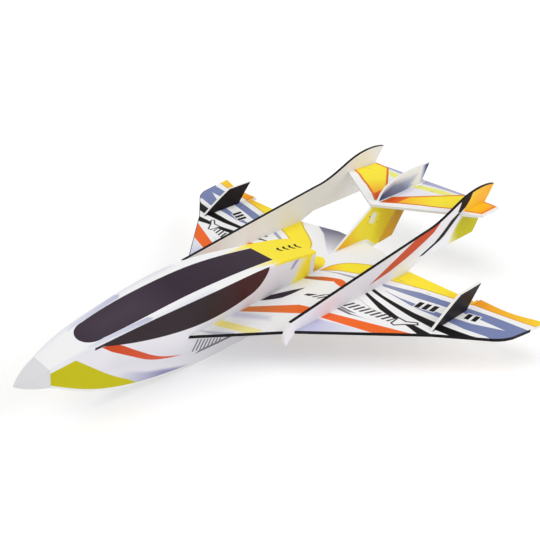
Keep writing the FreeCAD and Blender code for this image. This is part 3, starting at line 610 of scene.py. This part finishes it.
def dress_cad():
    """Give every CAD node its material."""
    assign(wing_print(), *both_sides("wing", "aileron"))
    assign(side_print(), *both_sides("side_panel"))
    assign(top_print(), "top_panel")
    assign(boom_print(), *both_sides("boom"))
    assign(tail_print(), "stabiliser", "elevator")
    assign(fin_print(), "centre_fin", "rudder")
    assign(cover_print(), "rudder_servo_cover")
    assign(upper_fin_print(), "upper_fin")
    assign(winglet_print(), *both_sides("winglet"))
    assign(canopy_print(), "canopy_hatch")
    assign(plain("belly_foam", (0.80, 0.80, 0.80)), "belly_panel")
    assign(plain("nose_foam", (0.70, 0.69, 0.71), roughness=0.5, bump=0.14, grain=700.0), "nose_cone")
    assign(plain("inner_foam", (0.78, 0.78, 0.76), roughness=0.6), "hatch_ledge", *ending("_former"))
    assign(plain("black_edging", BLACK, roughness=0.35, bump=0.02),
           *both_sides("wing_edge_strip", "boom_edge_strip"))
    assign(plain("white_nylon", (0.72, 0.72, 0.70), roughness=0.4, bump=0.04), "hinge_blocks",
           *ending("_arm", "_horn"))
    assign(plain("servo_case", (0.02, 0.06, 0.30), roughness=0.25, bump=0.02, coat=0.4),
           *ending("_servo"))
    assign(plain("steel_wire", (0.55, 0.55, 0.56), roughness=0.3, bump=0.03, metallic=1.0),
           *ending("_pushrod"), *[name for name in NODES if "hinge_rod" in name])
    assign(plain("carbon_rod", (0.015, 0.015, 0.016), roughness=0.35, bump=0.08, coat=0.3),
           "wing_spars")
    assign(plywood(), "equipment_tray")
    assign(battery_print(), "battery")
    assign(plain("strap_fabric", (0.02, 0.02, 0.02), roughness=0.9, bump=0.5, grain=1800.0),
           "battery_strap")
    assign(plain("black_case", (0.02, 0.02, 0.02), roughness=0.5), "receiver", "speed_controller")
    assign(plain("fan_nylon", (0.025, 0.025, 0.027)), "fan_housing", "fan_rotor")
    assign(plain("motor_can", (0.25, 0.25, 0.27), roughness=0.35, metallic=1.0), "fan_motor")
    assign(plain("duct_film", (0.75, 0.75, 0.76), roughness=0.35), "exhaust_tube")


# ---- worked edges -----------------------------------------------------------------------
BOARD_EDGE = 0.4 * MM  # width of the rounding on cut boards
CASE_EDGE = 0.3 * MM   # and on moulded pieces
SHARP = math.radians(50)
EDGE_SEGMENTS = 2


def soften(width, *names):
    """Round off the sharp edges of CAD nodes a little."""
    for name in names:
        bevel = NODES[name].modifiers.new("soft_edges", "BEVEL")
        bevel.width = width
        bevel.segments = EDGE_SEGMENTS
        bevel.limit_method = "ANGLE"
        bevel.angle_limit = SHARP
        bevel.use_clamp_overlap = True


def soften_cad():
    """Round the edges of the boards and cases that are seen."""
    soften(BOARD_EDGE, *both_sides("wing", "aileron", "boom", "winglet"), "stabiliser",
           "elevator", "centre_fin", "rudder", "upper_fin")
    soften(CASE_EDGE, "canopy_hatch", "nose_cone", "battery", "receiver", "speed_controller",
           *ending("_servo"))


# ---- small screws -----------------------------------------------------------------------
# (radius, height) in millimetres, from the floor of the round socket out and down past the rim
SCREW_PROFILE = [(0.0, 0.25), (0.50, 0.25), (0.58, 0.80), (1.05, 0.76), (1.38, 0.45), (1.45, -0.3)]
SCREW_SIDES = 20
HALF_ARM = 0.8 * MM    # from a servo arm's mid plane to its face


def lathe(name, profile, sides):
    """Mesh turned about Z from (radius, height) points in millimetres."""
    shape = bmesh.new()
    rings = []
    for radius, height in profile:
        turns = sides if radius > 0 else 1
        ring = []
        for i in range(turns):
            angle = 2 * math.pi * i / sides
            at = Vector((radius * math.cos(angle), radius * math.sin(angle), height)) * MM
            ring.append(shape.verts.new(at))
        rings.append(ring)
    for inner, outer in zip(rings, rings[1:]):
        for i in range(sides):
            corners = [inner[i % len(inner)], outer[i], outer[(i + 1) % sides]]
            if len(inner) > 1:
                corners.append(inner[(i + 1) % sides])
            shape.faces.new(corners)
    mesh = bpy.data.meshes.new(name)
    shape.to_mesh(mesh)
    shape.free()
    mesh.shade_smooth()
    return mesh


def middle(node):
    """Middle of a node's box."""
    low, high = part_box(node)
    return (low + high) / 2


def add_screws():
    """Screw in the hub of each servo arm, on the side away from its servo."""
    mesh = lathe("screw_head", SCREW_PROFILE, SCREW_SIDES)
    steel = plain("screw_steel", (0.42, 0.42, 0.43), roughness=0.35, bump=0.03, metallic=1.0)
    mesh.materials.append(steel)
    for joint in frame["joints"]:
        if not joint["name"].endswith("_arm_pivot"):
            continue
        name = joint["name"].removesuffix("_arm_pivot")
        axis = Vector(joint["axis"])
        reach = (middle(name + "_servo_arm") - middle(name + "_servo")).dot(axis)
        outward = axis * math.copysign(1.0, reach)
        screw = bpy.data.objects.new(name + "_arm_screw", mesh)
        screw.rotation_euler = outward.to_track_quat("Z", "Y").to_euler()
        screw.location = Vector(joint["pos_m"]) + outward * HALF_ARM
        bpy.context.scene.collection.objects.link(screw)
        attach(screw, joint["child"])


# ---- camera, floor and lights -----------------------------------------------------------
AZIMUTH, ELEVATION, ROLL = math.radians(46.6), math.radians(29.37), math.radians(0.54)
CAMERA_AT = Vector((0.9027, -0.7709, 0.7985))
LENS_MM = 53.58
SENSOR_MM = 36.0
NEAR_CLIP = 0.05

SURROUND = 0.50        # strength of the white surround
FLOOR_HALF = 30.0      # half the floor's side
FLOOR_DROP = 0.5 * MM  # gap below the belly
FLOOR_GREY = 0.80
FLOOR_GLOW = 0.24
LIGHTS = (             # name, direction towards the light, strength, spread in degrees
    ("overhead", (-0.10, -0.45, 1.0), 1.30, 50),
    ("port_fill", (1.0, 0.90, 0.60), 1.25, 60),
)


def add_camera():
    """Three-quarter view from ahead, above and to port."""
    a, e = AZIMUTH, ELEVATION
    back = Vector((math.sin(a) * math.cos(e), -math.cos(a) * math.cos(e), math.sin(e)))
    level = Vector((math.cos(a), math.sin(a), 0.0))
    right = math.cos(ROLL) * level + math.sin(ROLL) * back.cross(level)
    data = bpy.data.cameras.new("camera")
    data.lens = LENS_MM
    data.sensor_width = SENSOR_MM
    data.clip_start = NEAR_CLIP
    camera = bpy.data.objects.new("camera", data)
    axes = Matrix((right, back.cross(right), back)).transposed()
    camera.matrix_world = Matrix.Translation(CAMERA_AT) @ axes.to_4x4()
    bpy.context.scene.collection.objects.link(camera)
    bpy.context.scene.camera = camera


def soft_light(name, towards, strength, spread):
    """Even light from one side, with shadows blurred over the given spread in degrees."""
    data = bpy.data.lights.new(name, "SUN")
    data.energy = strength
    data.angle = math.radians(spread)
    light = bpy.data.objects.new(name, data)
    light.rotation_euler = Vector(towards).to_track_quat("Z", "Y").to_euler()
    bpy.context.scene.collection.objects.link(light)


def floor_paper():
    """Matt paper that glows a little, so that it stays pale out to the horizon."""
    material = bpy.data.materials.new("floor_paper")
    material.use_nodes = True
    inputs = material.node_tree.nodes["Principled BSDF"].inputs
    inputs["Base Color"].default_value = (FLOOR_GREY, FLOOR_GREY, FLOOR_GREY, 1.0)
    inputs["Roughness"].default_value = 0.9
    inputs["Specular IOR Level"].default_value = 0.1
    inputs["Emission Color"].default_value = (1.0, 1.0, 1.0, 1.0)
    inputs["Emission Strength"].default_value = FLOOR_GLOW
    return material


def add_floor():
    """Wide floor just under the belly."""
    mesh = bpy.data.meshes.new("floor")
    shape = bmesh.new()
    bmesh.ops.create_grid(shape, x_segments=2, y_segments=2, size=FLOOR_HALF)
    shape.to_mesh(mesh)
    shape.free()
    mesh.materials.append(floor_paper())
    floor = bpy.data.objects.new("floor", mesh)
    floor.location.z = cad_box[0][2] - FLOOR_DROP
    bpy.context.scene.collection.objects.link(floor)


def add_studio():
    """Pale floor, an even white surround, and soft light from above and from port."""
    world = bpy.data.worlds.new("studio")
    world.use_nodes = True
    background = world.node_tree.nodes["Background"]
    background.inputs["Color"].default_value = (1.0, 1.0, 1.0, 1.0)
    background.inputs["Strength"].default_value = SURROUND
    bpy.context.scene.world = world
    add_floor()
    for light in LIGHTS:
        soft_light(*light)
    bpy.context.scene.view_settings.view_transform = "Standard"


add_camera()
add_studio()
dress_cad()
soften_cad()
add_screws()
